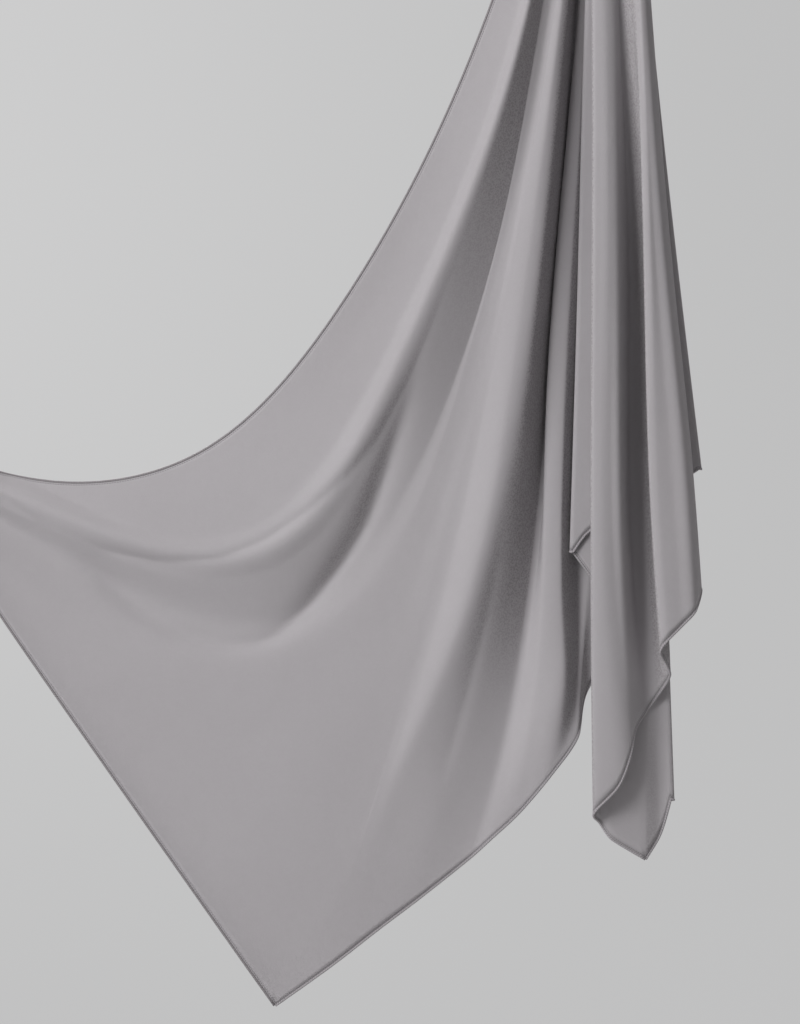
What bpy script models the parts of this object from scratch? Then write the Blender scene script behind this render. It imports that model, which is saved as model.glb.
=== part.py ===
"""Evening stole held up by one pinch of its upper long edge.

The stole is one rectangle of soft satin cloth with a narrow rolled hem on each side.
It hangs from the point where its upper long edge is gathered, near the middle of that edge.
Its left corner is drawn out to the side, so the left half sweeps down as one open panel.
The right half falls in a cascade of pleats.

World frame, in metres: the origin is the gathered point, +X is the viewer's right,
+Z is up, and the front of the cloth faces -Y.
The fold tables are in millimetres to the right of, below and in front of the origin.
"""

from typing import NamedTuple

import bpy
import numpy as np

MM = 0.001

WALL = 0.0012
HEM_RADIUS = 0.0010
SEAM_GAP = 0.0003
HEM_END_TRIM = 0.0018
LEAST_STRAIGHTNESS = 0.6

CROWN_RISES = (0.018, 0.009)
CROWN_FLARE = 1.25

ROW_SHARES = (0.0, 0.12, 0.24, 0.34, 0.42, 0.49, 0.56, 0.62, 0.68, 0.74, 0.79, 0.84, 0.88, 0.92,
              0.96, 1.0)
COLUMNS_PER_GAP = 2
CORNERS_FROM = 0.80

# A pleat line's own drops: the pinch, the waist, the hip and, last, its hem.
WAIST_DROP = 0.210
HIP_DROP = 0.510

# The front fold's lines have one more station, at this share of the way to the hem.
KNEE_SHARE = 0.82

# Depth of the hidden layers, by drop: the layer at the back, and the step to the next one forward.
LAYER_DROPS = (0.0, 0.210, 0.510, 0.800, 1.070)
BACK_LAYER = (-0.021, -0.038, -0.064, -0.063, -0.057)
LAYER_STEP = (0.0030, 0.0036, 0.0040, 0.0040, 0.0053)
TURN_SETBACK = 0.8


class SweepFold(NamedTuple):
    """One fold line of the open left panel, as (right, drop, forward) at six stations."""

    name: str
    pinch: tuple
    high: tuple
    bend: tuple
    sweep: tuple
    low: tuple
    hem: tuple


# Share of the way from the pinch to the hem at each station of a sweep fold.
# The folds run from the upper edge's left half, round the left corner, to the hidden back.
SWEEP_SHARES = (0.0, 0.28, 0.48, 0.66, 0.83, 1.0)

SWEEP_FOLDS = (
    SweepFold("upper edge", (-37, 0, -17), (-151, 320, 2), (-265, 525, -7),
              (-395, 660, -8), (-550, 692, -1), (-705, 646, 6)),
    SweepFold("edge hollow", (-35, 0, -18), (-134, 322, 4), (-238, 538, -6),
              (-376, 690, -5), (-542, 702, 2), (-702, 651, 7)),
    SweepFold("first rise", (-33, 0, -19), (-113, 322, 8), (-210, 551, -2),
              (-346, 734, 0), (-528, 718, 7), (-699, 656, 9)),
    SweepFold("first crest", (-31, 0, -20), (-101, 320, 14), (-195, 558, 5),
              (-328, 755, 7), (-512, 737, 10), (-696, 661, 11)),
    SweepFold("first fall", (-29, 0, -21), (-92, 322, 7), (-179, 565, -2),
              (-314, 774, 1), (-502, 758, 6), (-692, 668, 9)),
    SweepFold("first valley", (-27, 0, -21), (-76, 322, -11), (-142, 578, -22),
              (-284, 810, -18), (-482, 797, -4), (-687, 677, 5)),
    SweepFold("panel top", (-25, 0, -21), (-73, 322, -11.5), (-136, 581, -22.5),
              (-255, 822, -17), (-465, 855, 1), (-667, 710, 9)),
    SweepFold("panel end", (-23, 0, -21), (-70, 322, -12), (-130, 584, -23),
              (-228, 826, -17), (-395, 945, 1), (-600, 822, 11)),
    SweepFold("panel middle", (-21, 0, -21), (-67, 322, -12), (-124, 586, -23),
              (-202, 826, -17), (-325, 1015, 0), (-465, 1016, 8)),
    SweepFold("left corner", (-19, 0, -21), (-64, 322, -11), (-118, 588, -22.5),
              (-180, 822, -17), (-255, 1060, -4), (-325, 1215, 2)),
    SweepFold("second rise", (-17, 0, -21), (-60, 322, -8), (-110, 590, -21),
              (-160, 816, -16), (-225, 1020, -6.5), (-270, 1176, -2)),
    SweepFold("second crest", (-14, 0, -21), (-51, 322, -2), (-88, 590, -13),
              (-131, 812, -7), (-192, 985, -8), (-222, 1139, -7)),
    SweepFold("second fall", (-11, 0, -21), (-40, 322, -7), (-70, 590, -20),
              (-103, 810, -18), (-156, 980, -12.5), (-178, 1106, -13)),
    SweepFold("second valley", (-8.5, 0, -21), (-31, 322, -49), (-51, 590, -69),
              (-78, 810, -50), (-106, 961, -31), (-134, 1070, -20)),
    SweepFold("third tuck", (-6.5, 0, -21), (-23.5, 320, -50), (-43, 588, -68),
              (-70, 808, -53), (-94, 952, -32), (-115, 1055, -21)),
    SweepFold("third edge", (-4.5, 0, -20), (-29.5, 318, -42), (-51, 585, -51),
              (-60, 805, -46), (-78, 938, -28), (-94, 1035, -22)),
    SweepFold("third crest", (-1, 0, -20), (-21, 312, -42), (-39, 575, -47),
              (-39, 795, -39), (-50, 916, -25), (-66, 1007, -22)),
    SweepFold("third fall", (8, 0, -21), (-6, 285, -46), (-12, 510, -65),
              (-19, 700, -68), (-23, 840, -64), (-24, 950, -35)),
    SweepFold("hidden back", (18, 0, -21), (8, 251, -43), (4, 430, -59),
              (4, 591, -67), (-2, 744, -68), (-9, 896, -66)),
)


class Pleat(NamedTuple):
    """One pleat line of the cascade: a turn of the cloth, or a line on a straight leg.

    turn is +1 where the cloth turns back at the right, -1 at the left and 0 on a leg.
    layer counts the hidden layers from the back.
    The next four columns are millimetres to the right at the pinch, waist, hip and hem.
    """

    turn: int
    layer: float
    pinch: float
    waist: float
    hip: float
    hem: float
    hem_drop: float


BACK_PLEATS = (
    #    turn layer pinch waist hip   hem  hem_drop
    Pleat(+1, 0.5, 29, 36, 42, 44, 846),
    Pleat(-1, 1.5, -2, -5, -4, -1, 790),
    Pleat(+1, 2.5, 27, 33, 40, 43, 850),
    Pleat(-1, 3.5, -6, -20, -23, -29, 761),
    Pleat(0, 4.0, -2, -6, -6, -8, 739),
    Pleat(+1, 4.5, 31, 50, 83, 103, 678),
    Pleat(-1, 5.5, -8, -3, 4, 7, 740),
)

INNER_PLEATS = (
    Pleat(0, 12.0, 14, 30, 44, 60, 1043),
    Pleat(+1, 11.5, 22, 40, 56, 74, 1009),
    Pleat(-1, 10.5, -6, 1, 7, 6, 952),
    Pleat(+1, 9.5, 20, 34, 50, 62, 915),
    Pleat(-1, 8.5, -5, 2, 9, 12, 878),
    Pleat(+1, 7.5, 20, 32, 48, 58, 850),
    Pleat(0, 7.0, -4, 4, 12, 16, 818),
)


class FrontLine(NamedTuple):
    """One line of the big front fold, as (right, forward) at five stations down to its hem."""

    name: str
    pinch: tuple
    waist: tuple
    hip: tuple
    knee: tuple
    hem: tuple
    hem_drop: float


FRONT_LINES = (
    #         name                 pinch       waist         hip         knee        hem   hem_drop
    FrontLine("right fold back", (28, -3), (43, -16), (63, -39.5), (76, -39), (88, -38), 795),
    FrontLine("right fold turn", (33, 4), (49, -5), (73, -22), (87, -21), (98, -20), 797),
    FrontLine("right fold edge", (34, 13), (50, 10), (75, 10), (90, 11), (101, 10), 800),
    FrontLine("right fold front", (32, 25), (45, 25), (68, 33), (84, 34), (94, 35), 820),
    FrontLine("right fold face", (27, 28.5), (40, 28.5), (57, 37), (70, 37), (80, 39), 835),
    FrontLine("notch above", (23, 28.5), (36.5, 27), (50, 40), (56, 40), (66, 42), 849),
    FrontLine("notch edge", (21.5, 27.5), (34.5, 26), (43.5, 38), (49, 38), (59, 39), 859),
    FrontLine("notch below", (20, 26.5), (32.5, 24.5), (48, 34), (53, 34), (62, 31), 867),
    FrontLine("tongue above", (18.5, 25.5), (30.5, 22), (55, 29), (60, 29), (68, 25), 878),
    FrontLine("tongue edge", (17, 24.5), (28.5, 20), (59, 22), (64, 22), (69.5, 18), 884),
    FrontLine("tongue below", (15.5, 23.5), (26, 17), (55, 14), (59, 14), (66, 8), 892),
    FrontLine("hollow floor", (13, 22.5), (22, 13), (46, -2), (48, -4), (56, -1), 907),
    FrontLine("hollow wall", (11, 22), (18, 13), (29, -8), (31, -6), (46, 1), 921),
    FrontLine("front shoulder", (8, 22.5), (14, 23), (19, 33), (23, 33), (35, 20), 938),
    FrontLine("front facet", (2, 25), (6, 28.5), (9, 40), (13, 39), (29, 31), 965),
    FrontLine("front face", (-6, 26.5), (-1.5, 29.5), (-1, 41.5), (2, 42), (17, 35), 995),
    FrontLine("front edge", (-12, 23), (-8.5, 24), (-9, 34), (-9.5, 33), (-7, 29), 1021),
    FrontLine("behind front edge", (-9, 20), (-6, 20), (-4, 27), (-5, 27), (0, 21), 1032),
    FrontLine("front lining side", (-2, 18), (4, 10), (8, -7), (8, 4), (12, 22), 1048),
    FrontLine("right corner", (8, 15), (22, 5), (34, -15), (42, -5), (45, 16), 1068),
)

LEFT_CORNER_NAME = "left corner"
RIGHT_CORNER_NAME = "right corner"

CLOTH_COLOUR = (0.365, 0.345, 0.360, 1.0)
HEM_COLOUR = (0.290, 0.272, 0.286, 1.0)
CLOTH_ROUGHNESS = 0.55


def natural_spline(knots, values, at):
    """Read a natural cubic spline through values (one row for each knot) at one place."""
    knots = np.asarray(knots, dtype=float)
    values = np.asarray(values, dtype=float)
    steps = np.diff(knots)
    count = len(knots)
    system = np.eye(count)
    target = np.zeros_like(values)
    for i in range(1, count - 1):
        system[i, i - 1:i + 2] = steps[i - 1], 2 * (steps[i - 1] + steps[i]), steps[i]
        slope_after = (values[i + 1] - values[i]) / steps[i]
        slope_before = (values[i] - values[i - 1]) / steps[i - 1]
        target[i] = 6 * (slope_after - slope_before)
    bends = np.linalg.solve(system, target)
    i = int(np.clip(np.searchsorted(knots, at, side="right") - 1, 0, count - 2))
    after = (at - knots[i]) / steps[i]
    before = 1 - after
    straight = before * values[i] + after * values[i + 1]
    curve = (before ** 3 - before) * bends[i] + (after ** 3 - after) * bends[i + 1]
    return straight + curve * steps[i] ** 2 / 6


def smooth_step(low, high, value):
    """Rise from 0 at low to 1 at high with flat ends."""
    share = float(np.clip((value - low) / (high - low), 0, 1))
    return share * share * (3 - 2 * share)


def layer_depth(layer, drop):
    """Give a hidden layer's forward distance, and the step between layers, at one drop."""
    back, step = natural_spline(LAYER_DROPS, np.column_stack([BACK_LAYER, LAYER_STEP]), drop)
    return back + layer * step, step


def pleat_points(pleats, share):
    """Give each pleat line's (right, drop, forward) at one share of the way to its hem.

    A turn has a shoulder on each side, half a layer behind and half a layer before it.
    """
    towards_front = 1 if pleats[-1].layer > pleats[0].layer else -1
    points = []
    for pleat in pleats:
        hem_drop = pleat.hem_drop * MM
        drop = share * hem_drop
        rights = np.array([pleat.pinch, pleat.waist, pleat.hip, pleat.hem]) * MM
        right = natural_spline((0.0, WAIST_DROP, HIP_DROP, hem_drop), rights, drop)
        for side in ((-1, 0, 1) if pleat.turn else (0,)):
            forward, step = layer_depth(pleat.layer + side * towards_front / 2, drop)
            setback = abs(side) * pleat.turn * TURN_SETBACK * step
            points.append((right - setback, drop, forward))
    return points


def front_points(share):
    """Give each front line's (right, drop, forward) at one share of the way to its hem."""
    points = []
    for row in FRONT_LINES:
        hem_drop = row.hem_drop * MM
        drop = share * hem_drop
        drops = (0.0, WAIST_DROP, HIP_DROP, KNEE_SHARE * hem_drop, hem_drop)
        places = np.array([row.pinch, row.waist, row.hip, row.knee, row.hem]) * MM
        right, forward = natural_spline(drops, places, drop)
        points.append((right, drop, forward))
    return points


LEFT_CORNER = [fold.name for fold in SWEEP_FOLDS].index(LEFT_CORNER_NAME)
RIGHT_CORNER = (len(SWEEP_FOLDS) + len(pleat_points(BACK_PLEATS, 0.0))
                + [row.name for row in FRONT_LINES].index(RIGHT_CORNER_NAME))


def sweep_points(share):
    """Give each sweep fold's (right, drop, forward) at one share of the way to the hem."""
    return [natural_spline(SWEEP_SHARES, np.array(fold[1:]) * MM, share) for fold in SWEEP_FOLDS]


def unit(vectors):
    """Scale vectors along the last axis to length 1."""
    return vectors / np.linalg.norm(vectors, axis=-1, keepdims=True)


def row_curve(points, corner_share):
    """Run a smooth curve through the fold lines of one row.

    A point's tangent is parallel to the line between its neighbours and as long as the
    nearer one is away, so a leg stays straight up to a tight turn. At the two lower corners
    the tangents lean to their own chords by corner_share, which makes the corners sharp.
    """
    chords = np.diff(points, axis=0)
    lengths = np.linalg.norm(chords, axis=1)
    directions = unit(chords)
    shorter = np.minimum(lengths[:-1], lengths[1:])
    across = unit(points[2:] - points[:-2])
    tangents = np.vstack([chords[:1], across * shorter[:, None], chords[-1:]])
    arriving = tangents.copy()
    leaving = tangents.copy()
    for i in (LEFT_CORNER, RIGHT_CORNER):
        arriving[i] += corner_share * (directions[i - 1] * shorter[i - 1] - arriving[i])
        leaving[i] += corner_share * (directions[i] * shorter[i - 1] - leaving[i])

    pieces = []
    for step in range(COLUMNS_PER_GAP):
        t = step / COLUMNS_PER_GAP
        pieces.append(points[:-1] * (2 * t ** 3 - 3 * t ** 2 + 1) + leaving[:-1] * (t ** 3 - 2 * t ** 2 + t)
                      + points[1:] * (3 * t ** 2 - 2 * t ** 3) + arriving[1:] * (t ** 3 - t ** 2))
    woven = np.stack(pieces, axis=1).reshape(-1, 3)
    return np.vstack([woven, points[-1:]])


def cloth_grid():
    """Lay out the cloth's middle surface, rows from the crown's edge down to the lower hem.

    The result is an array (rows, columns, 3) in world metres.
    """
    rows = []
    for share in ROW_SHARES:
        points = np.array(sweep_points(share) + pleat_points(BACK_PLEATS, share)
                          + front_points(share) + pleat_points(INNER_PLEATS, share))
        rows.append(row_curve(points, smooth_step(CORNERS_FROM, 1.0, share)))
    pinch = rows[0]
    crown = []
    for rise in CROWN_RISES:
        flare = 1 + (CROWN_FLARE - 1) * rise / CROWN_RISES[0]
        crown.append(pinch * (flare, 0, flare) - (0, rise, 0))
    grid = np.array(crown + rows)
    return np.stack([grid[..., 0], -grid[..., 2], -grid[..., 1]], axis=-1)


def make_material(name, colour, roughness):
    """Make a Principled material."""
    material = bpy.data.materials.new(name)
    material.use_nodes = True
    shader = material.node_tree.nodes["Principled BSDF"]
    shader.inputs["Base Color"].default_value = colour
    shader.inputs["Roughness"].default_value = roughness
    shader.inputs["Metallic"].default_value = 0.0
    return material


def link(obj, collection, material):
    """Put an object in the stole's collection and give it its material."""
    collection.objects.link(obj)
    obj.data.materials.append(material)
    return obj


def make_cloth(grid, collection):
    """Build the cloth panel as one open surface with its wall's thickness."""
    rows, columns = grid.shape[:2]
    index = np.arange(rows * columns).reshape(rows, columns)
    faces = np.stack([index[:-1, :-1], index[1:, :-1], index[1:, 1:], index[:-1, 1:]], axis=-1)
    mesh = bpy.data.meshes.new("cloth_panel")
    mesh.from_pydata(grid.reshape(-1, 3).tolist(), [], faces.reshape(-1, 4).tolist())
    mesh.shade_smooth()
    panel = link(bpy.data.objects.new("cloth_panel", mesh), collection,
                 make_material("cloth_satin", CLOTH_COLOUR, CLOTH_ROUGHNESS))
    wall = panel.modifiers.new("wall", "SOLIDIFY")
    wall.thickness = WALL
    wall.offset = 0.0
    wall.use_rim = True
    return panel


def trimmed(path):
    """Draw both ends of a path in, so that hems which meet at a corner keep their gap."""
    path = path.copy()
    path[0] += unit(path[1] - path[0]) * HEM_END_TRIM
    path[-1] += unit(path[-2] - path[-1]) * HEM_END_TRIM
    return path


def hem_path(edge, inner):
    """Move an edge out of the cloth by the hem's radius and the gap of its seam.

    The way out lies in the cloth, square to the edge, and is longer where the edge bends.
    """
    directions = unit(np.diff(edge, axis=0))
    along = np.vstack([directions[:1], (directions[:-1] + directions[1:]) / 2, directions[-1:]])
    straightness = np.maximum(np.linalg.norm(along, axis=1, keepdims=True), LEAST_STRAIGHTNESS)
    along = unit(along)
    out = edge - inner
    out = unit(out - along * np.sum(out * along, axis=1, keepdims=True))
    return edge + out * (HEM_RADIUS + SEAM_GAP) / straightness


def make_hem(name, path, collection):
    """Build one rolled hem as a thin tube along a path."""
    curve = bpy.data.curves.new(name, "CURVE")
    curve.dimensions = "3D"
    curve.bevel_depth = HEM_RADIUS
    curve.bevel_resolution = 0
    curve.use_fill_caps = True
    spline = curve.splines.new("POLY")
    spline.points.add(len(path) - 1)
    for point, place in zip(spline.points, path):
        point.co = (*place, 1.0)
    return link(bpy.data.objects.new(name, curve), collection,
                make_material(name + "_thread", HEM_COLOUR, CLOTH_ROUGHNESS))


def make_hems(grid, collection):
    """Build the four rolled hems along the panel's edges."""
    left = LEFT_CORNER * COLUMNS_PER_GAP
    right = RIGHT_CORNER * COLUMNS_PER_GAP
    edge, inner = grid[-1], grid[-2]
    upper_edge = np.vstack([grid[:0:-1, 0], grid[0], grid[1:, -1]])
    upper_inner = np.vstack([grid[:0:-1, 1], grid[1], grid[1:, -2]])
    make_hem("hem_upper", hem_path(upper_edge, upper_inner), collection)
    make_hem("hem_left_end", trimmed(hem_path(edge[:left + 1], inner[:left + 1])), collection)
    make_hem("hem_lower", hem_path(edge[left:right + 1], inner[left:right + 1]), collection)
    make_hem("hem_right_end", trimmed(hem_path(edge[right:], inner[right:])), collection)


def main():
    for obj in list(bpy.data.objects):
        bpy.data.objects.remove(obj, do_unlink=True)
    collection = bpy.data.collections.new("evening_stole")
    bpy.context.scene.collection.children.link(collection)
    grid = cloth_grid()
    make_cloth(grid, collection)
    make_hems(grid, collection)


main()
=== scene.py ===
"""Looks of the evening stole: its satin, its rolled hems and the plain studio it hangs in.

The cloth is one surface on a grid. The grid's columns follow fold lines that fan out from the
gathered pinch, and its rows run from the crown over the pinch down to the hem. The fold tables
give places in millimetres to the right of, below and in front of the pinch. They follow the
solid model's tables to within 7 mm, except low down on the third fold, where the lines lie
further right along the cloth. The finer creases are added here alone.
"""

import logging
import math
from dataclasses import dataclass, field
from enum import Enum

import bpy
import numpy as np
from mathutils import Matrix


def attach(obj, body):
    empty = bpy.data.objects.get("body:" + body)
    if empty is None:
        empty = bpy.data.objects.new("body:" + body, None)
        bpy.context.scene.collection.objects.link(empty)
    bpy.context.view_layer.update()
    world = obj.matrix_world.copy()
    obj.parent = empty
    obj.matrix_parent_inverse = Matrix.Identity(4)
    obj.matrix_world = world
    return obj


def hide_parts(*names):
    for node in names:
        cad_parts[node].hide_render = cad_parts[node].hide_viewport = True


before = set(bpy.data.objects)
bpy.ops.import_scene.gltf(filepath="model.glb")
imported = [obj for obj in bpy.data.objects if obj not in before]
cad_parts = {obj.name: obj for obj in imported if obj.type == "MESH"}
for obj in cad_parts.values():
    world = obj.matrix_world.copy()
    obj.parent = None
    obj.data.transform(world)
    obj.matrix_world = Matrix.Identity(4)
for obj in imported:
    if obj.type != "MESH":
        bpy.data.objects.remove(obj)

Array = np.ndarray
Number = float | int
Colour = tuple[float, float, float, float]
Point = tuple[float, float, float]
LOG = logging.getLogger("evening_stole")

MM = 0.001
TURN = 2 * math.pi
TINY = 1e-12
BODY = "root"
LEFT_CORNER = "left corner"
RIGHT_CORNER = "right corner"
CREASES_END = "second valley"


class Turn(Enum):
    """Where a pleat line lies: at the turn of the cloth on one side, or on a straight leg."""

    RIGHT = 1
    LEFT = -1
    LEG = 0


class Side(Enum):
    """The four sides of the stole's rectangle, by the name of the hem that finishes each."""

    UPPER = "hem_upper"
    LEFT_END = "hem_left_end"
    LOWER = "hem_lower"
    RIGHT_END = "hem_right_end"


@dataclass(frozen=True)
class SweepFold:
    """One fold line of the open left panel, as (right, drop, forward) at six stations."""

    name: str
    stations: tuple[tuple[float, float, float], ...]


@dataclass(frozen=True)
class Pleat:
    """One pleat line of the cascade, on a hidden layer counted from the back.

    The places are millimetres to the right at the pinch, waist, hip and hem.
    """

    turn: Turn
    layer: float
    places: tuple[float, float, float, float]
    hem_drop: float


@dataclass(frozen=True)
class FrontLine:
    """One line of the big front fold, as (right, forward) at five stations down to its hem."""

    name: str
    stations: tuple[tuple[float, float], ...]
    hem_drop: float


@dataclass(frozen=True)
class Crease:
    """A fine crease pressed into the open panel along a curve seen from the front.

    The depth is at the crease itself, and fades over one width on the side to the left of the
    curve's direction and over the other width on its right. Positive depth lies behind.
    Sharpness is the radius that rounds the crease's bottom, in millimetres like the rest. The
    fades are shares of the curve's length.
    """

    name: str
    curve: tuple[tuple[float, float], ...]
    depth: float
    left_width: float
    right_width: float
    sharpness: float = 1.5
    fade_in: float = 0.15
    fade_out: float = 0.15


SWEEP_SHARES = (0.0, 0.28, 0.48, 0.66, 0.83, 1.0)

SWEEP_FOLDS = (
    SweepFold("upper edge", ((-37, 0, -17), (-151, 320, 2), (-265, 525, -7),
                             (-395, 660, -8), (-550, 692, -1), (-705, 646, 6))),
    SweepFold("edge hollow", ((-35, 0, -18), (-134, 322, 4), (-238, 538, -6),
                              (-376, 690, -5), (-542, 702, 2), (-702, 651, 7))),
    SweepFold("first rise", ((-33, 0, -19), (-113, 322, 8), (-210, 551, -2),
                             (-346, 734, 0), (-528, 718, 7), (-699, 656, 9))),
    SweepFold("first crest", ((-31, 0, -20), (-101, 320, 14), (-195, 558, 5),
                              (-328, 755, 8), (-512, 737, 12), (-696, 661, 12))),
    SweepFold("first fall", ((-29, 0, -21), (-92, 322, 7), (-179, 565, -2),
                             (-314, 774, -1), (-502, 758, 5), (-692, 668, 9))),
    SweepFold("first valley", ((-27, 0, -21), (-76, 322, -11), (-142, 578, -22),
                               (-284, 810, -15), (-482, 797, -10), (-687, 677, 4))),
    SweepFold("panel top", ((-25, 0, -21), (-73, 322, -11.5), (-136, 581, -22.5),
                            (-255, 822, -15), (-465, 855, -1.5), (-667, 710, 9))),
    SweepFold("panel end", ((-23, 0, -21), (-70, 322, -12), (-130, 584, -23),
                            (-228, 826, -16), (-395, 945, 0), (-600, 822, 11))),
    SweepFold("panel middle", ((-21, 0, -21), (-67, 322, -12), (-124, 586, -23),
                               (-202, 826, -17), (-325, 1015, 0), (-465, 1016, 8))),
    SweepFold("left corner", ((-19, 0, -21), (-64, 322, -11), (-118, 588, -22.5),
                              (-180, 822, -17), (-255, 1060, -4), (-325, 1215, 2))),
    SweepFold("second rise", ((-17, 0, -21), (-60, 322, -8), (-110, 590, -21),
                              (-160, 816, -16), (-225, 1020, -6.5), (-270, 1176, -2))),
    SweepFold("second crest", ((-14, 0, -21), (-51, 322, -6), (-88, 590, -15),
                               (-131, 812, -7), (-192, 985, -8), (-222, 1139, -7))),
    SweepFold("second fall", ((-11, 0, -21), (-41.5, 322, -12.5), (-70, 590, -22.5),
                              (-103, 810, -24), (-152, 980, -15), (-178, 1106, -13))),
    SweepFold("second valley", ((-8.5, 0, -21), (-31.5, 322, -45), (-51, 590, -63),
                                (-73, 808, -51), (-100, 958, -32), (-130, 1068, -20))),
    SweepFold("third tuck", ((-6.5, 0, -21), (-24, 320, -46), (-43, 588, -62),
                             (-65, 806, -52), (-87, 947, -32.5), (-109, 1049, -20.5))),
    SweepFold("third edge", ((-4.5, 0, -20), (-29.5, 318, -38), (-51, 585, -47),
                             (-56, 803, -42.5), (-66, 926, -27.5), (-80, 1022, -22))),
    SweepFold("third crest", ((-1, 0, -20), (-18, 312, -38), (-33, 575, -45),
                              (-38, 795, -42), (-35, 897, -30), (-48, 984, -23))),
    SweepFold("third fall", ((8, 0, -21), (-6, 285, -46), (-12, 510, -65),
                             (-19, 700, -68), (-20, 843, -62), (-22, 947, -34))),
    SweepFold("hidden back", ((18, 0, -21), (8, 251, -43), (4, 430, -59),
                              (4, 591, -67), (-2, 744, -68), (-9, 896, -66))),
)

BACK_PLEATS = (
    Pleat(Turn.RIGHT, 0.5, (29, 36, 42, 44), 846),
    Pleat(Turn.LEFT, 1.5, (-2, -5, -4, -1), 790),
    Pleat(Turn.RIGHT, 2.5, (27, 33, 40, 43), 850),
    Pleat(Turn.LEFT, 3.5, (-6, -14, -21.5, -29), 761),
    Pleat(Turn.LEG, 4.0, (-2, -6, -6, -8), 739),
    Pleat(Turn.RIGHT, 4.5, (31, 50, 83, 103), 678),
    Pleat(Turn.LEFT, 5.5, (-8, -3, 4, 7), 740),
)

FRONT_LINES = (
    FrontLine("right fold back", ((28, -3), (43, -16), (63, -39.5), (76, -39), (88, -38)), 795),
    FrontLine("right fold turn", ((33, 4), (49, -5), (73, -22), (87, -21), (98, -20)), 797),
    FrontLine("right fold edge", ((34, 13), (50, 10), (75, 10), (90, 11), (101, 10)), 800),
    FrontLine("right fold front", ((32, 25), (45, 25), (68, 33), (84, 34), (94, 35)), 820),
    FrontLine("right fold face", ((27, 28.5), (40, 28.5), (57, 37), (70, 37), (80, 39)), 835),
    FrontLine("notch above", ((23, 28.5), (36.5, 27), (50, 40), (56, 40), (66, 42)), 849),
    FrontLine("notch edge", ((21.5, 27.5), (34.5, 26), (43.5, 38), (49, 38), (59, 39)), 859),
    FrontLine("notch below", ((20, 26.5), (32.5, 24.5), (48, 34), (53, 34), (62, 31)), 867),
    FrontLine("tongue above", ((18.5, 25.5), (30.5, 22), (55, 29), (60, 29), (68, 25)), 878),
    FrontLine("tongue edge", ((17, 24.5), (28.5, 20), (59, 22), (64, 22), (69.5, 18)), 884),
    FrontLine("tongue below", ((15.5, 23.5), (26, 17), (55, 14), (59, 14), (66, 8)), 892),
    FrontLine("hollow floor", ((13, 22.5), (22, 13), (46, -2), (48, -4), (56, -1)), 907),
    FrontLine("hollow wall", ((11, 22), (18, 13), (29, -8), (31, -6), (46, 1)), 921),
    FrontLine("front shoulder", ((8, 22.5), (14, 23), (19, 33), (23, 33), (35, 20)), 938),
    FrontLine("front facet", ((2, 25), (6, 28.5), (9, 40), (13, 39), (29, 31)), 965),
    FrontLine("front face", ((-6, 26.5), (-1.5, 29.5), (-1, 41.5), (2, 42), (17, 35)), 995),
    FrontLine("front edge", ((-12, 23), (-8.5, 27.5), (-9, 39.5), (-9.5, 39.5), (-7, 33)), 1021),
    FrontLine("behind front edge", ((-9, 20), (-6, 20), (-4, 27), (-5, 27), (0, 21)), 1032),
    FrontLine("front lining side", ((-2, 18), (4, 10), (8, -7), (8, 4), (12, 22)), 1048),
    FrontLine("right corner", ((8, 15), (22, 5), (34, -15), (42, -5), (45, 16)), 1068),
)

INNER_PLEATS = (
    Pleat(Turn.LEG, 12.0, (14, 30, 44, 60), 1043),
    Pleat(Turn.RIGHT, 11.5, (22, 40, 56, 74), 1009),
    Pleat(Turn.LEFT, 10.5, (-6, 1, 7, 6), 952),
    Pleat(Turn.RIGHT, 9.5, (20, 34, 50, 62), 915),
    Pleat(Turn.LEFT, 8.5, (-5, 2, 9, 12), 878),
    Pleat(Turn.RIGHT, 7.5, (20, 32, 48, 58), 850),
    Pleat(Turn.LEG, 7.0, (-4, 4, 12, 16), 818),
)

CREASES = (
    Crease("lip of the first valley",
           ((-529, 759), (-497, 787), (-468, 816), (-424, 842), (-379, 855), (-341, 854),
            (-321, 844), (-291, 815), (-262, 776), (-238, 738), (-221, 694), (-206, 650),
            (-191, 610), (-179, 560)),
           depth=5.0, left_width=13, right_width=7, sharpness=2.0, fade_in=0.12, fade_out=0.35),
    Crease("groove of the first valley",
           ((-340, 855), (-321, 844), (-291, 815), (-262, 776), (-238, 738), (-221, 694),
            (-206, 650), (-191, 610), (-179, 560)),
           depth=9.5, left_width=8, right_width=20, sharpness=2.0, fade_in=0.4, fade_out=0.4),
    Crease("under the first crest",
           ((-541, 738), (-497, 760), (-438, 772), (-379, 768), (-335, 750), (-291, 720),
            (-247, 679), (-224, 650), (-191, 590), (-166, 530), (-145, 460)),
           depth=3.6, left_width=5, right_width=9, fade_in=0.12, fade_out=0.5),
    Crease("hollow above the first crest",
           ((-600, 677), (-585, 684), (-541, 706), (-512, 719), (-482, 732), (-440, 742)),
           depth=4.0, left_width=12, right_width=8, fade_in=0.05, fade_out=0.6),
    Crease("curl of the left end",
           ((-705, 646), (-667, 710), (-600, 822), (-465, 1016), (-325, 1215)),
           depth=-6.0, left_width=16, right_width=16, fade_in=0.12, fade_out=0.08),
    Crease("wrinkle from the held end",
           ((-608, 700), (-575, 722), (-552, 742), (-532, 768)),
           depth=2.2, left_width=5, right_width=6, sharpness=1.5, fade_in=0.1, fade_out=0.5),
    Crease("slope of the second fold",
           ((-92, 690), (-97, 730), (-103, 776), (-119, 848), (-134, 910), (-159, 995),
            (-167, 1020)),
           depth=1.5, left_width=5, right_width=12, fade_in=0.3, fade_out=0.2),
)


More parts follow.
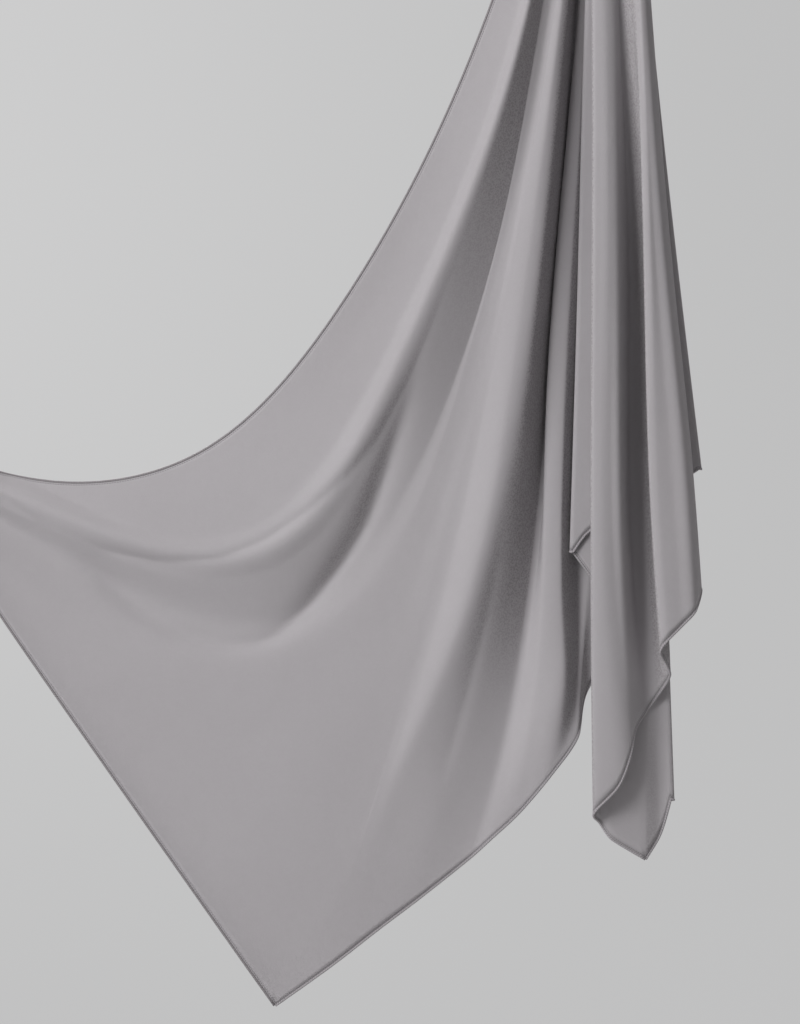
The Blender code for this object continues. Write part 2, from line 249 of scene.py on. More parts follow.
def natural_spline(knots: Array, values: Array, at: Array) -> Array:
    """Read a natural cubic spline: pieces with one slope and one bend where they meet.

    Args:
        knots: Where the values are given, rising, shape (k,).
        values: The values there, shape (k, ...).
        at: Where the spline is read, shape (n,).

    Returns:
        The spline's values, shape (n, ...).
    """
    knots = np.asarray(knots, dtype=float)
    values = np.asarray(values, dtype=float)
    flat = values.reshape(len(knots), -1)
    steps = np.diff(knots)
    inside = np.arange(1, len(knots) - 1)
    system = np.eye(len(knots))
    system[inside, inside - 1] = steps[:-1]
    system[inside, inside] = 2 * (steps[:-1] + steps[1:])
    system[inside, inside + 1] = steps[1:]
    slopes = np.diff(flat, axis=0) / steps[:, None]
    target = np.zeros_like(flat)
    target[inside] = 6 * np.diff(slopes, axis=0)
    bends = np.linalg.solve(system, target)
    piece = np.clip(np.searchsorted(knots, at, side="right") - 1, 0, len(knots) - 2)
    step = steps[piece][:, None]
    after = (np.asarray(at) - knots[piece])[:, None] / step
    before = 1 - after
    curve = ((before ** 3 - before) * bends[piece] + (after ** 3 - after) * bends[piece + 1])
    result = before * flat[piece] + after * flat[piece + 1] + curve * step ** 2 / 6
    return result.reshape(len(result), *values.shape[1:])


def smooth_step(low: float, high: float, value: Array) -> Array:
    """Rise from 0 at low to 1 at high with flat ends, by 3 t squared less 2 t cubed."""
    share = np.clip((value - low) / (high - low), 0, 1)
    return share * share * (3 - 2 * share)


def unit(vectors: Array) -> Array:
    """Scale vectors along the last axis to length 1."""
    return vectors / np.maximum(np.linalg.norm(vectors, axis=-1, keepdims=True), TINY)


def sine_between(first: Array, second: Array, least_square: float) -> Array:
    """Give the sine of the angle between unit vectors, with a least value of its square."""
    return np.sqrt(np.clip(1 - np.sum(first * second, axis=-1) ** 2, least_square, 1))


def run_length(points: Array, axis: int) -> Array:
    """Add up the lengths of the chords along one axis of a grid of points, from 0."""
    chords = np.linalg.norm(np.diff(points, axis=axis), axis=-1)
    start = np.zeros_like(np.take(chords, [0], axis=axis))
    return np.concatenate([start, np.cumsum(chords, axis=axis)], axis=axis)


def place_of(name: str, lines: tuple[SweepFold | FrontLine, ...]) -> int:
    """Give a line's place in its table by its name."""
    return [line.name for line in lines].index(name)


@dataclass
class ClothForm:
    """The stole's middle surface as it hangs, worked out on a grid.

    Columns follow the fold lines and rows run from the crown over the pinch to the hem.
    """

    row_count: int = 104
    sweep_steps: int = 10
    front_steps: int = 6
    pleat_steps: int = 4
    waist_drop: float = 0.210
    hip_drop: float = 0.510
    knee_share: float = 0.82
    layer_drops: tuple[float, ...] = (0.0, 0.210, 0.510, 0.800, 1.070)
    back_layer: tuple[float, ...] = (-0.021, -0.038, -0.064, -0.063, -0.057)
    layer_step: tuple[float, ...] = (0.0030, 0.0036, 0.0040, 0.0040, 0.0053)
    turn_setback: float = 0.8
    corners_from: float = 0.80
    crown_rise: float = 0.018
    crown_flare: float = 0.25
    crown_rows: int = 4
    grid: Array = field(init=False)
    left_corner: int = field(init=False)
    right_corner: int = field(init=False)

    def __post_init__(self) -> None:
        """Work the surface out once."""
        shares = np.linspace(0, 1, self.row_count)
        groups = [self.sweep_lines(shares), self.pleat_lines(BACK_PLEATS, shares),
                  self.front_lines(shares), self.pleat_lines(INNER_PLEATS, shares)]
        steps = np.concatenate([np.full(group.shape[1], count) for group, count in zip(
            groups, (self.sweep_steps, self.pleat_steps, self.front_steps, self.pleat_steps))])
        starts = np.concatenate([[0], np.cumsum(steps[:-1])])
        left = place_of(LEFT_CORNER, SWEEP_FOLDS)
        right = (groups[0].shape[1] + groups[1].shape[1]
                 + place_of(RIGHT_CORNER, FRONT_LINES))
        self.left_corner = int(starts[left])
        self.right_corner = int(starts[right])
        lines = np.concatenate(groups, axis=1)
        rows = self.row_curves(lines, steps[:-1], (left, right),
                               smooth_step(self.corners_from, 1.0, shares))
        rows = self.creased(rows, int(starts[place_of(CREASES_END, SWEEP_FOLDS)]))
        hung = np.concatenate([self.crown(rows[0]), rows])
        self.grid = np.stack([hung[..., 0], -hung[..., 2], -hung[..., 1]], axis=-1)

    def sweep_lines(self, shares: Array) -> Array:
        """Carry the sweep's fold lines down on natural splines over the share of the way.

        Args:
            shares: Each row's share of the way from the pinch to the hem, shape (n,).

        Returns:
            Their (right, drop, forward), shape (n, folds, 3), in metres.
        """
        stations = np.array([fold.stations for fold in SWEEP_FOLDS]).transpose(1, 0, 2) * MM
        return natural_spline(SWEEP_SHARES, stations, shares)

    def pleat_lines(self, pleats: tuple[Pleat, ...], shares: Array) -> Array:
        """Carry pleat lines down. A turn has a shoulder half a layer behind and before it.

        Args:
            pleats: The pleat lines in their order along the cloth.
            shares: Each row's share of the way from the pinch to the hem, shape (n,).

        Returns:
            Their (right, drop, forward), shape (n, lines, 3), in metres.
        """
        order = 1 if pleats[-1].layer > pleats[0].layer else -1
        lines = []
        for pleat in pleats:
            hem_drop = pleat.hem_drop * MM
            drop = shares * hem_drop
            right = natural_spline((0.0, self.waist_drop, self.hip_drop, hem_drop),
                                   np.array(pleat.places) * MM, drop)
            back, step = natural_spline(
                self.layer_drops, np.column_stack([self.back_layer, self.layer_step]), drop).T
            for side in ((-1, 0, 1) if pleat.turn is not Turn.LEG else (0,)):
                forward = back + (pleat.layer + side * order / 2) * step
                setback = abs(side) * pleat.turn.value * self.turn_setback * step
                lines.append(np.stack([right - setback, drop, forward], axis=-1))
        return np.stack(lines, axis=1)

    def front_lines(self, shares: Array) -> Array:
        """Carry the big front fold's lines down on natural splines over the drop.

        Args:
            shares: Each row's share of the way from the pinch to the hem, shape (n,).

        Returns:
            Their (right, drop, forward), shape (n, lines, 3), in metres.
        """
        lines = []
        for line in FRONT_LINES:
            hem_drop = line.hem_drop * MM
            drop = shares * hem_drop
            knots = (0.0, self.waist_drop, self.hip_drop, self.knee_share * hem_drop, hem_drop)
            place = natural_spline(knots, np.array(line.stations) * MM, drop)
            lines.append(np.stack([place[:, 0], drop, place[:, 1]], axis=-1))
        return np.stack(lines, axis=1)

    def row_curves(self, lines: Array, steps: Array, corners: tuple[int, int],
                   corner_share: Array) -> Array:
        """Run each row through its fold lines on cubic pieces with set tangents.

        A tangent is parallel to the line between a point's neighbours and as long as the
        nearer one is away. At the two lower corners it leans to its own chord on either side.

        Args:
            lines: The fold lines' points, shape (n, lines, 3).
            steps: The number of columns for each gap between lines, shape (lines - 1,).
            corners: The lines that end in the stole's lower corners.
            corner_share: How far each row's tangents lean at the corners, shape (n,).

        Returns:
            The rows' points, shape (n, columns, 3).
        """
        chords = np.diff(lines, axis=1)
        lengths = np.linalg.norm(chords, axis=-1, keepdims=True)
        shorter = np.minimum(lengths[:, :-1], lengths[:, 1:])
        inner = unit(lines[:, 2:] - lines[:, :-2]) * shorter
        arriving = np.concatenate([chords[:, :1], inner, chords[:, -1:]], axis=1)
        leaving = arriving.copy()
        directions = chords / lengths
        for corner in corners:
            share = corner_share[:, None]
            length = shorter[:, corner - 1]
            before, after = directions[:, corner - 1], directions[:, corner]
            arriving[:, corner] += share * (before * length - arriving[:, corner])
            leaving[:, corner] += share * (after * length - leaving[:, corner])

        gap = np.repeat(np.arange(len(steps)), steps)
        t = (np.arange(len(gap)) - np.repeat(np.cumsum(steps) - steps, steps)) / steps[gap]
        t = t[None, :, None]
        woven = (lines[:, gap] * (2 * t ** 3 - 3 * t ** 2 + 1)
                 + leaving[:, gap] * (t ** 3 - 2 * t ** 2 + t)
                 + lines[:, gap + 1] * (3 * t ** 2 - 2 * t ** 3)
                 + arriving[:, gap + 1] * (t ** 3 - t ** 2))
        return np.concatenate([woven, lines[:, -1:]], axis=1)

    def creased(self, rows: Array, last_column: int) -> Array:
        """Press the fine creases into the open panel.

        Each lowers the cloth by depth times exp(-reach / width), where reach is the rounded
        distance to the crease seen from the front, and fades smoothly towards both its ends.

        Args:
            rows: The rows' points (right, drop, forward), shape (n, columns, 3).
            last_column: The first column that the creases leave alone.

        Returns:
            The same points, with the creases in them.
        """
        rows = rows.copy()
        plane = rows[:, :last_column, :2]
        for crease in CREASES:
            curve = np.array(crease.curve) * MM
            chord = np.diff(curve, axis=0)
            length = np.linalg.norm(chord, axis=1)
            from_start = plane[:, :, None] - curve[:-1]
            along = np.clip(np.sum(from_start * chord, axis=-1) / length ** 2, 0, 1)
            away = from_start - along[..., None] * chord
            distance = np.linalg.norm(away, axis=-1)
            nearest = np.argmin(distance, axis=-1)[..., None]
            distance = np.take_along_axis(distance, nearest, -1)[..., 0]
            turn = chord[:, 0] * away[..., 1] - chord[:, 1] * away[..., 0]
            on_right = np.take_along_axis(turn, nearest, -1)[..., 0] > 0
            run = np.cumsum(length) - length + along * length
            share = np.take_along_axis(run, nearest, -1)[..., 0] / length.sum()
            width = np.where(on_right, crease.right_width, crease.left_width) * MM
            rounding = crease.sharpness * MM
            reach = np.sqrt(distance ** 2 + rounding ** 2) - rounding
            strength = (smooth_step(0, crease.fade_in, share)
                        * smooth_step(0, crease.fade_out, 1 - share))
            rows[:, :last_column, 2] -= crease.depth * MM * strength * np.exp(-reach / width)
        return rows

    def crown(self, pinch: Array) -> Array:
        """Flare the cloth a little above the pinch, where the gathered edge stands up.

        Args:
            pinch: The pinch row's points (right, drop, forward), shape (columns, 3).

        Returns:
            The crown's rows from its edge down, shape (rows, columns, 3).
        """
        rise = np.linspace(1, 0, self.crown_rows + 1)[:-1, None]
        flare = 1 + self.crown_flare * rise
        return np.stack([pinch[:, 0] * flare, pinch[:, 1] - self.crown_rise * rise,
                         pinch[:, 2] * flare], axis=-1)

    def edge(self, side: Side) -> tuple[Array, Array]:
        """Give one side's edge points and the points one step into the cloth.

        Args:
            side: Which side of the rectangle.

        Returns:
            The edge and its inner neighbours, both of shape (points, 3).
        """
        last, before = self.grid[-1], self.grid[-2]
        if side is Side.UPPER:
            return (np.vstack([self.grid[:0:-1, 0], self.grid[0], self.grid[1:, -1]]),
                    np.vstack([self.grid[:0:-1, 1], self.grid[1], self.grid[1:, -2]]))
        if side is Side.LEFT_END:
            return last[:self.left_corner + 1], before[:self.left_corner + 1]
        if side is Side.LOWER:
            span = slice(self.left_corner, self.right_corner + 1)
            return last[span], before[span]
        return last[self.right_corner:], before[self.right_corner:]


class Socket:
    """A shader socket that takes part in Python expressions, each adding its Math node."""

    def __init__(self, shader: "Shader", output: bpy.types.NodeSocket) -> None:
        """Wrap one output socket of a shader's node."""
        self.shader = shader
        self.output = output

    def math(self, operation: str, *values: "Socket | Number") -> "Socket":
        """Add one Math node on this socket and the given values, in their order."""
        return self.shader.add("ShaderNodeMath", {"operation": operation},
                               dict(enumerate((self, *values))))

    def __add__(self, other: "Socket | Number") -> "Socket":
        """Add."""
        return self.math("ADD", other)

    def __radd__(self, other: Number) -> "Socket":
        """Add to a number."""
        return self.math("ADD", other)

    def __sub__(self, other: "Socket | Number") -> "Socket":
        """Take away."""
        return self.math("SUBTRACT", other)

    def __rsub__(self, other: Number) -> "Socket":
        """Take away from a number."""
        return self.math("MULTIPLY", -1.0).math("ADD", other)

    def __mul__(self, other: "Socket | Number") -> "Socket":
        """Multiply."""
        return self.math("MULTIPLY", other)

    def sine(self) -> "Socket":
        """Take the sine, in radians."""
        return self.math("SINE")

    def distance_to(self, place: Number) -> "Socket":
        """Give how far the value is from a number."""
        return (self - place).math("ABSOLUTE")

    def ramp(self, low: Number, high: Number) -> "Socket":
        """Rise smoothly from 0 where the value is low to 1 where it is high."""
        return self.shader.add("ShaderNodeMapRange", {"interpolation_type": "SMOOTHSTEP"},
                               {"Value": self, "From Min": low, "From Max": high})


class Shader:
    """A node tree that grows by expressions, most often a material's with its Principled."""

    def __init__(self, name: str) -> None:
        """Make a new material of that name."""
        self.material = bpy.data.materials.new(name)
        self.material.use_nodes = True
        self.tree = self.material.node_tree
        self.principled = self.tree.nodes["Principled BSDF"]

    @classmethod
    def on_tree(cls, tree: bpy.types.NodeTree) -> "Shader":
        """Work on a node tree that is there already, such as the world's."""
        shader = cls.__new__(cls)
        shader.tree = tree
        return shader

    def add(self, kind: str, settings: dict[str, object], values: dict[str | int, object],
            output: str | int = 0) -> Socket:
        """Add a node, set its settings, then set or link its sockets.

        Args:
            kind: The node's type.
            settings: Its properties by name.
            values: Its input sockets by name or index, as numbers, colours or Sockets.
            output: The output socket to give back.

        Returns:
            That output, ready for expressions.
        """
        node = self.tree.nodes.new(kind)
        for key, value in settings.items():
            setattr(node, key, value)
        for key, value in values.items():
            self.feed(node.inputs[key], value)
        return Socket(self, node.outputs[output])

    def feed(self, socket: bpy.types.NodeSocket, value: object) -> None:
        """Link a Socket to an input, or set the input's own value."""
        if isinstance(value, Socket):
            self.tree.links.new(value.output, socket)
        else:
            socket.default_value = value

    def set(self, **values: object) -> None:
        """Set or link the Principled shader's inputs, with _ for a space in their names."""
        for key, value in values.items():
            self.feed(self.principled.inputs[key.replace("_", " ")], value)

    def place(self) -> Socket:
        """Give Object coordinates, in metres."""
        return self.add("ShaderNodeTexCoord", {}, {}, "Object")

    def attribute(self, name: str) -> Socket:
        """Give a number stored on the mesh."""
        return self.add("ShaderNodeAttribute", {"attribute_name": name}, {}, "Fac")

    def noise(self, where: Socket, scale: float, detail: float = 2.0,
              roughness: float = 0.5) -> Socket:
        """Give soft noise from 0 to 1, with scale spots to a metre."""
        return self.add("ShaderNodeTexNoise", {"normalize": True},
                        {"Vector": where, "Scale": scale, "Detail": detail, "Roughness": roughness})

    def mix(self, share: "Socket | Number", first: object, second: object) -> Socket:
        """Blend two colours by a share."""
        return self.add("ShaderNodeMix", {"data_type": "RGBA"}, {0: share, 6: first, 7: second}, 2)

    def bump(self, height: Socket, depth: float, strength: float,
             under: Socket | None = None) -> Socket:
        """Turn a height into a normal, for a relief of that depth in metres.

        Args:
            height: The relief's height, mostly from 0 to 1.
            depth: How many metres a height of 1 stands for.
            strength: How much of the relief shows.
            under: The normal of a finer relief below it, if any.

        Returns:
            The normal.
        """
        values = {"Height": height, "Distance": depth, "Strength": strength}
        if under is not None:
            values["Normal"] = under
        return self.add("ShaderNodeBump", {}, values)


@dataclass(frozen=True)
class SatinFinish:
    """Soft satin-backed cloth: fine threads, a low sheen, slubs and a stitched edge."""

    name: str = "mauve_grey_satin"
    colour: Colour = (0.372, 0.357, 0.372, 1.0)
    deep_colour: Colour = (0.325, 0.306, 0.318, 1.0)
    thread_and_shade_colour: Colour = (0.110, 0.100, 0.108, 1.0)
    flank_shade_colour: Colour = (0.170, 0.158, 0.160, 1.0)
    sheen_colour: Colour = (0.93, 0.91, 0.94, 1.0)
    thread_pitch: float = 0.0006
    stitch_pitch: float = 0.0026
    stitch_inset: float = 0.0017
    stitch_gap: tuple[float, float] = (-0.75, -0.2)
    stitch_edges: tuple[float, float] = (0.0002, 0.0007)
    stitch_and_shade_share: float = 0.55
    pucker_reach: float = 0.0022
    grain_spots: float = 520.0
    slub_spots: float = 160.0
    tone_spots: float = 7.0
    crumple_spots: float = 34.0
    speck_range: tuple[float, float] = (0.46, 0.56)
    flank_shade_share: float = 0.5
    relief_depth: float = 0.00035
    relief_strength: float = 0.55
    crumple_depth: float = 0.0012
    crumple_strength: float = 0.35
    roughness: float = 0.58
    roughness_spread: float = 0.16
    sheen: float = 0.22
    sheen_roughness: float = 0.42
    specular: float = 0.24

    def material(self) -> bpy.types.Material:
        """Build the cloth's material on Object coordinates and the panel's own attributes.

        Threads are a product of sines over the panel's own warp and weft lengths, grain and
        slubs are noise, and the stitch line is a dashed band at a set distance from the edge:
        dark thread, with painted shade of the groove it lies in.
        Where a fold's flank faces right, dark grain specks are painted there as shade.
        """
        shader = Shader(self.name)
        place = shader.place()
        warp = shader.attribute("cloth_across")
        weft = shader.attribute("cloth_down")
        edge = shader.attribute("hem_distance")
        along = shader.attribute("hem_along")
        flank_shade = shader.attribute("flank_shade")

        turn = TURN / self.thread_pitch
        threads = (warp * turn).sine() * (weft * turn).sine() * 0.5 + 0.5
        grain = shader.noise(place, self.grain_spots, 2.0, 0.8)
        slubs = shader.noise(place, self.slub_spots, 3.0, 0.6)
        tone = shader.noise(place, self.tone_spots, 3.0, 0.55)
        crumple = shader.noise(place, self.crumple_spots, 3.0, 0.5)

        from_stitch = edge.distance_to(self.stitch_inset)
        dash = (along * (TURN / self.stitch_pitch)).sine().ramp(*self.stitch_gap)
        stitch = dash * (1 - from_stitch.ramp(*self.stitch_edges))
        pucker = 1 - from_stitch.ramp(0.0, self.pucker_reach)

        depth = tone * 0.45 + slubs * 0.25 + grain * 0.45 - 0.10
        # Painted shade: dark grain specks only where a fold's flank faces right, away from the
        # light.
        specks = grain.ramp(*self.speck_range) * flank_shade * self.flank_shade_share
        colour = shader.mix(depth, self.colour, self.deep_colour)
        colour = shader.mix(specks, colour, self.flank_shade_colour)
        # Painted shade: the stitch line is dark thread together with the shade of its groove.
        colour = shader.mix(stitch * self.stitch_and_shade_share, colour, self.thread_and_shade_colour)
        relief = threads * 0.22 + grain * 0.5 + slubs * 0.35 - pucker * 1.4 + stitch * 0.9
        fine = shader.bump(relief, self.relief_depth, self.relief_strength)
        soft = shader.bump(crumple, self.crumple_depth, self.crumple_strength, fine)
        roughness = self.roughness + (grain - 0.5) * self.roughness_spread
        shader.set(Base_Color=colour, Roughness=roughness, Normal=soft, Metallic=0.0,
                   Sheen_Weight=self.sheen, Sheen_Roughness=self.sheen_roughness,
                   Sheen_Tint=self.sheen_colour, Specular_IOR_Level=self.specular)
        return shader.material


@dataclass(frozen=True)
class HemFinish:
    """The rolled edge: the same cloth turned in and whipped with slanted thread."""

    name: str = "rolled_hem_satin"
    colour: Colour = (0.350, 0.330, 0.345, 1.0)
    grain_colour: Colour = (0.30, 0.283, 0.295, 1.0)
    thread_and_shade_colour: Colour = (0.120, 0.110, 0.118, 1.0)
    stitch_pitch: float = 0.0026
    stitch_edges: tuple[float, float] = (0.62, 0.86)
    joint_shade_edges: tuple[float, float] = (0.06, 0.24)
    grain_spots: float = 800.0
    relief_depth: float = 0.0003
    relief_strength: float = 0.6
    roughness: float = 0.55
    roughness_spread: float = 0.1
    sheen: float = 0.2
    sheen_roughness: float = 0.45
    specular: float = 0.3

    def material(self) -> bpy.types.Material:
        """Build the hem's material: slanted whip stitches over the roll's length and turn."""
        shader = Shader(self.name)
        place = shader.place()
        along = shader.attribute("hem_along")
        around = shader.attribute("hem_around")
        slant = (along * (TURN / self.stitch_pitch) + around * TURN).sine()
        stitch = slant.ramp(*self.stitch_edges)
        # Painted shade: the roll darkens on its inner side, where it meets the cloth.
        valley = 1 - around.distance_to(0.5).ramp(*self.joint_shade_edges)
        grain = shader.noise(place, self.grain_spots, 2.0, 0.7)
        colour = shader.mix(grain * 0.3, self.colour, self.grain_colour)
        colour = shader.mix(stitch * 0.55 + valley * 0.4, colour, self.thread_and_shade_colour)
        relief = grain * 0.4 - stitch * 0.9
        shader.set(Base_Color=colour, Metallic=0.0, Sheen_Weight=self.sheen,
                   Roughness=self.roughness + (grain - 0.5) * self.roughness_spread,
                   Normal=shader.bump(relief, self.relief_depth, self.relief_strength),
                   Sheen_Roughness=self.sheen_roughness, Specular_IOR_Level=self.specular)
        return shader.material


# Painted shade: a darker copy of the hem, for the upper hem and the left end's hem.
SHADED_HEM = HemFinish("rolled_hem_shaded", (0.205, 0.190, 0.198, 1.0))


@dataclass(frozen=True)
class PaperFinish:
    """Matt studio paper."""

    name: str = "studio_paper"
    colour: Colour = (0.68, 0.68, 0.68, 1.0)
    shade: float = 0.94
    cloud_spots: float = 1.6
    roughness: float = 0.95
    specular: float = 0.1

    def material(self) -> bpy.types.Material:
        """Build the paper's material with a trace of mottling."""
        shader = Shader(self.name)
        cloud = shader.noise(shader.place(), self.cloud_spots, 3.0, 0.5)
        shaded = tuple(self.shade * part for part in self.colour[:3]) + (1.0,)
        shader.set(Base_Color=shader.mix(cloud * 0.6, self.colour, shaded),
                   Roughness=self.roughness, Specular_IOR_Level=self.specular)
        return shader.material


def make_piece(name: str, points: Array, faces: Array, caps: list[list[int]],
               material: bpy.types.Material) -> bpy.types.Object:
    """Put a grid of points into a smooth mesh object of its own at the origin.

    Args:
        name: The piece's name.
        points: Its points, shape (n, 3), in metres.
        faces: Its four-sided faces, shape (m, 4).
        caps: More faces, such as the ends of a tube.
        material: Its finish.

    Returns:
        The object, linked to the scene.
    """
    mesh = bpy.data.meshes.new(name)
    mesh.from_pydata(points.tolist(), [], faces.tolist() + caps)
    mesh.shade_smooth()
    mesh.materials.append(material)
    piece = bpy.data.objects.new(name, mesh)
    bpy.context.scene.collection.objects.link(piece)
    return piece


def store(piece: bpy.types.Object, name: str, values: Array) -> None:
    """Store one number for each of a mesh's points."""
    attribute = piece.data.attributes.new(name, "FLOAT", "POINT")
    attribute.data.foreach_set("value", np.ascontiguousarray(values, dtype=np.float32).ravel())


def grid_faces(rows: int, columns: int, wrap: bool = False) -> Array:
    """Number the four-sided faces of a grid of points, row by row.

    Args:
        rows: How many rows of points.
        columns: How many points in a row.
        wrap: Whether each row closes on itself.

    Returns:
        The faces' point numbers, shape (faces, 4).
    """
    index = np.arange(rows * columns).reshape(rows, columns)
    if wrap:
        index = np.concatenate([index, index[:, :1]], axis=1)
    return np.stack([index[:-1, :-1], index[1:, :-1], index[1:, 1:], index[:-1, 1:]],
                    axis=-1).reshape(-1, 4)


@dataclass
class SatinPanel:
    """The stole's one rectangle of cloth."""

    form: ClothForm
    cut: tuple[float, float] = (0.70, 1.95)
    wall: float = 0.0010
    flank_shade_range: tuple[float, float] = (0.35, 0.75)
    least_lean_square: float = 0.02

    def build(self, finish: SatinFinish) -> bpy.types.Object:
        """Make the panel from the form's grid, with its thin wall and its cloth lengths."""
        grid = self.form.grid
        rows, columns = grid.shape[:2]
        panel = make_piece("satin_panel", grid.reshape(-1, 3), grid_faces(rows, columns), [],
                           finish.material())
        across, down = run_length(grid, 1), run_length(grid, 0)
        distance, along = self.hem_lengths(across, down)
        store(panel, "cloth_across", across)
        store(panel, "cloth_down", down)
        store(panel, "hem_distance", distance)
        store(panel, "hem_along", along)
        # The mask for the painted shade on flanks that face right.
        store(panel, "flank_shade", self.flank_shade())
        wall = panel.modifiers.new("wall", "SOLIDIFY")
        wall.thickness = self.wall
        wall.offset = 0.0
        wall.use_rim = True
        return panel

    # Painted shade mask: how far each face looks to the right, where the dark specks go.
    def flank_shade(self) -> Array:
        """Give 0 to 1 by how far each point's face looks to the right."""
        grid = self.form.grid
        face = unit(np.cross(np.gradient(grid, axis=0), np.gradient(grid, axis=1)))
        return smooth_step(*self.flank_shade_range, face[..., 0])

    def hem_lengths(self, across: Array, down: Array) -> tuple[Array, Array]:
        """Give each point's distance to the nearest edge, and its place along that edge.

        The distance is the length along the grid line that meets the edge, times the sine of
        the angle between them.

        Args:
            across: Lengths along the rows.
            down: Lengths along the columns.

        Returns:
            Both, shape (rows, columns), in metres.
        """
        grid = self.form.grid
        edge_way = unit(np.gradient(grid[-1], axis=0))
        down_way = unit(grid[-1] - grid[-2])
        lean = sine_between(edge_way, down_way, self.least_lean_square)
        distance = (down[-1] - down) * lean
        along = np.broadcast_to(across[-1], down.shape)
        for start, step in ((0, 1), (-1, -1)):
            side_way = unit(np.gradient(grid[:, start], axis=0))
            row_way = unit(grid[:, start + step] - grid[:, start])
            lean = sine_between(side_way, row_way, self.least_lean_square)
            to_side = np.abs(across - across[:, start][:, None]) * lean[:, None]
            nearer = to_side < distance
            distance = np.where(nearer, to_side, distance)
            along = np.where(nearer, down[:, start][:, None], along)
        return distance, along


@dataclass
class RolledHem:
    """One narrow rolled hem, a flattened round profile carried along a side of the cloth."""

    form: ClothForm
    side: Side
    half_width: float = 0.0013
    half_depth: float = 0.0011
    outset: float = 0.0007
    sides: int = 10
    least_straightness: float = 0.6

    def build(self, material: bpy.types.Material) -> bpy.types.Object:
        """Make the hem: at each edge point, width times cosine outwards and depth times sine."""
        edge, inner = self.form.edge(self.side)
        ways = unit(np.diff(edge, axis=0))
        along = np.vstack([ways[:1], (ways[:-1] + ways[1:]) / 2, ways[-1:]])
        straight = np.maximum(np.linalg.norm(along, axis=1, keepdims=True),
                              self.least_straightness)
        along = unit(along)
        out = edge - inner
        out = unit(out - along * np.sum(out * along, axis=1, keepdims=True))
        face = np.cross(along, out)
        angle = np.linspace(0, TURN, self.sides, endpoint=False)[None, :, None]
        centre = (edge + out * self.outset / straight)[:, None]
        points = (centre + out[:, None] * np.cos(angle) * self.half_width
                  + face[:, None] * np.sin(angle) * self.half_depth)
        count = len(edge)
        caps = [list(range(self.sides))[::-1],
                [(count - 1) * self.sides + i for i in range(self.sides)]]
        hem = make_piece("rolled_" + self.side.value, points.reshape(-1, 3),
                         grid_faces(count, self.sides, wrap=True)[:, ::-1], caps, material)
        store(hem, "hem_along", np.repeat(run_length(edge, 0)[:, None], self.sides, axis=1))
        store(hem, "hem_around", np.repeat(angle[:, :, 0] / TURN, count, axis=0))
        return hem


@dataclass(frozen=True)
class SoftLight:
    """One soft square light: where it stands, what it looks at, its side and its power."""

    name: str
    place: Point
    aim: Point
    side: float
    power: float

    def build(self) -> None:
        """Make the light and turn it to its aim."""
        light = bpy.data.lights.new(self.name, "AREA")
        light.size = self.side
        light.energy = self.power
        lamp = bpy.data.objects.new(self.name, light)
        lamp.location = self.place
        way = np.array(self.aim) - np.array(self.place)
        lamp.rotation_euler = (math.acos(-way[2] / np.linalg.norm(way)), 0.0,
                               math.atan2(way[1], way[0]) - math.pi / 2)
        bpy.context.scene.collection.objects.link(lamp)


SOFT_LIGHTS = (
    SoftLight("key_softbox", (-2.45, -2.85, 1.35), (-0.20, 0.0, -0.70), 1.9, 164.0),
    SoftLight("back_softbox", (-1.2, 4.2, 2.4), (-0.20, 0.0, -0.60), 1.8, 150.0),
)


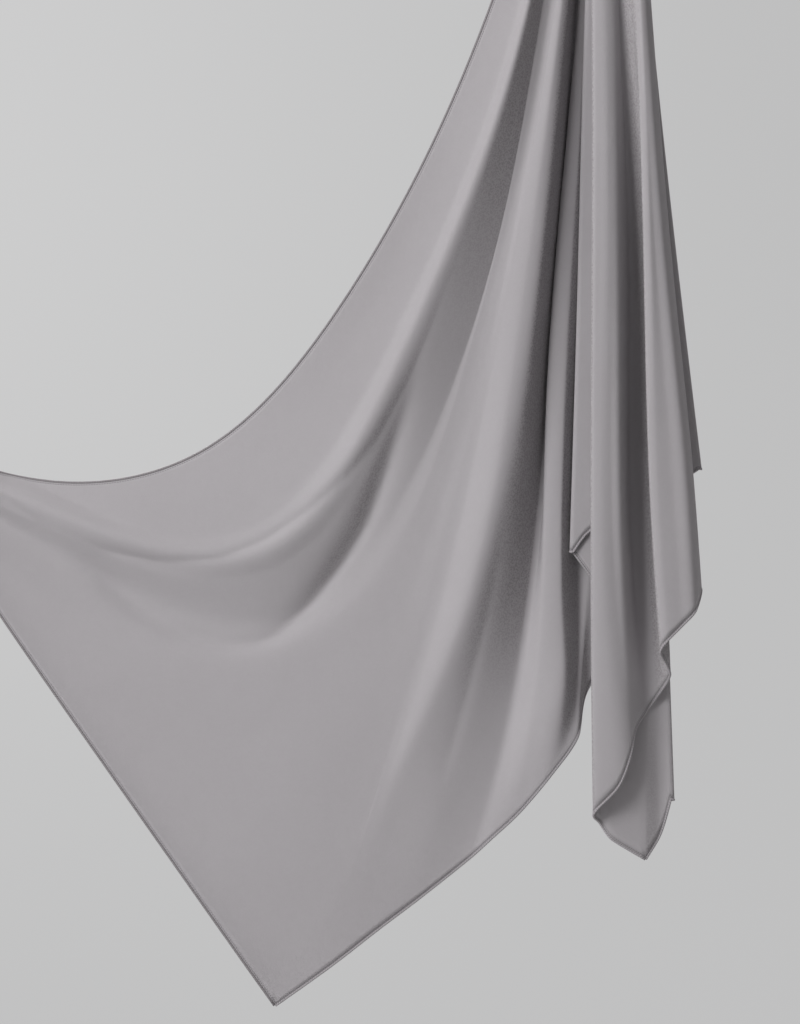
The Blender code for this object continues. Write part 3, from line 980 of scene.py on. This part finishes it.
@dataclass
class Studio:
    """The plain pale floor, the pale air behind, soft lights and the camera.

    The air's light is faint, and stronger where it comes from above. The ranges are the parts
    of a direction over which the air's tone or its light changes.
    """

    floor_drop: float = -1.50
    floor_middle: float = 0.02
    floor_reach: float = 4.0
    floor_rings: int = 12
    floor_sides: int = 96
    air_light: float = 0.12
    air_light_above: float = 1.05
    air_light_range: tuple[float, float] = (0.5, 0.95)
    air_colour: Colour = (0.79, 0.775, 0.775, 1.0)
    air_left: Colour = (0.615, 0.615, 0.617, 1.0)
    air_right: Colour = (0.520, 0.520, 0.522, 1.0)
    air_low: Colour = (0.530, 0.530, 0.532, 1.0)
    air_across_range: tuple[float, float] = (-0.07, 0.06)
    air_up_range: tuple[float, float] = (-0.09, 0.05)
    camera_place: Point = (-0.200, -8.0, -0.722)
    frame_height: float = 1.024
    sensor: float = 36.0
    sight: float = 60.0

    def build(self, finish: PaperFinish) -> None:
        """Make the floor, the lights, the air and the camera."""
        self.make_floor(finish)
        for light in SOFT_LIGHTS:
            light.build()
        self.make_air()
        bpy.context.scene.view_settings.view_transform = "Standard"
        self.make_camera()

    def make_air(self) -> None:
        """Give the air its faint light, stronger from above, and the pale tone it shows.

        The tone it shows is painted light: it falls off from left to right and downwards over
        a few degrees of direction, as soft light does on studio paper.
        """
        world = bpy.data.worlds.new("studio_air")
        bpy.context.scene.world = world
        world.use_nodes = True
        air = Shader.on_tree(world.node_tree)
        way = air.add("ShaderNodeTexCoord", {}, {}, "Generated")
        across = air.add("ShaderNodeSeparateXYZ", {}, {0: way}, "X")
        up = air.add("ShaderNodeSeparateXYZ", {}, {0: way}, "Z")
        # Painted light: the tone the camera sees is lighter on the left, darker to the right and
        # low down.
        tone = air.mix(across.ramp(*self.air_across_range), self.air_left, self.air_right)
        tone = air.mix(up.ramp(*self.air_up_range), self.air_low, tone)
        seen = air.add("ShaderNodeBackground", {}, {"Color": tone, "Strength": 1.0})
        strength = (up.ramp(*self.air_light_range) * (self.air_light_above - self.air_light)
                    + self.air_light)
        light = air.add("ShaderNodeBackground", {}, {"Color": self.air_colour,
                                                     "Strength": strength})
        by_camera = air.add("ShaderNodeLightPath", {}, {}, "Is Camera Ray")
        mixed = air.add("ShaderNodeMixShader", {}, {0: by_camera, 1: light, 2: seen})
        air.feed(world.node_tree.nodes["World Output"].inputs["Surface"], mixed)

    def make_floor(self, finish: PaperFinish) -> None:
        """Make one flat round sheet of paper below the stole."""
        reach, turn = np.meshgrid(
            np.linspace(self.floor_middle, self.floor_reach, self.floor_rings),
            np.linspace(0, TURN, self.floor_sides, endpoint=False), indexing="ij")
        points = np.stack([reach * np.cos(turn), reach * np.sin(turn),
                           np.full_like(turn, self.floor_drop)], axis=-1)
        floor = make_piece("studio_floor", points.reshape(-1, 3),
                           grid_faces(self.floor_rings, self.floor_sides, wrap=True),
                           [list(range(self.floor_sides))], finish.material())

    def make_camera(self) -> None:
        """Make the camera, level and square to the stole's front."""
        lens = bpy.data.cameras.new("camera")
        lens.sensor_fit = "VERTICAL"
        lens.sensor_height = self.sensor
        lens.lens = self.sensor * -self.camera_place[1] / self.frame_height
        lens.clip_end = self.sight
        camera = bpy.data.objects.new("camera", lens)
        camera.location = self.camera_place
        camera.rotation_euler = (math.pi / 2, 0.0, 0.0)
        bpy.context.scene.collection.objects.link(camera)
        bpy.context.scene.camera = camera


def main() -> None:
    """Build the studio, the panel and its hems, and tie them to the solid model."""
    logging.basicConfig(level=logging.INFO, format="%(message)s")
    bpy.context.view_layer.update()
    Studio().build(PaperFinish())

    form = ClothForm()
    panel = SatinPanel(form)
    cloth = panel.build(SatinFinish())
    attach(cloth, BODY)
    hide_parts("cloth_panel")
    LOG.info("%s: %d points", cloth.name, len(cloth.data.vertices))

    # The upper and left-end hems take the darker copy, as painted shade.
    rolls = {Side.UPPER: SHADED_HEM.material()}
    rolls[Side.LEFT_END] = rolls[Side.UPPER]
    rolls[Side.LOWER] = rolls[Side.RIGHT_END] = HemFinish().material()
    for side in Side:
        hem = RolledHem(form, side).build(rolls[side])
        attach(hem, BODY)
        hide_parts(side.value)
        LOG.info("%s: %d points", hem.name, len(hem.data.vertices))


if __name__ == "__main__":
    main()
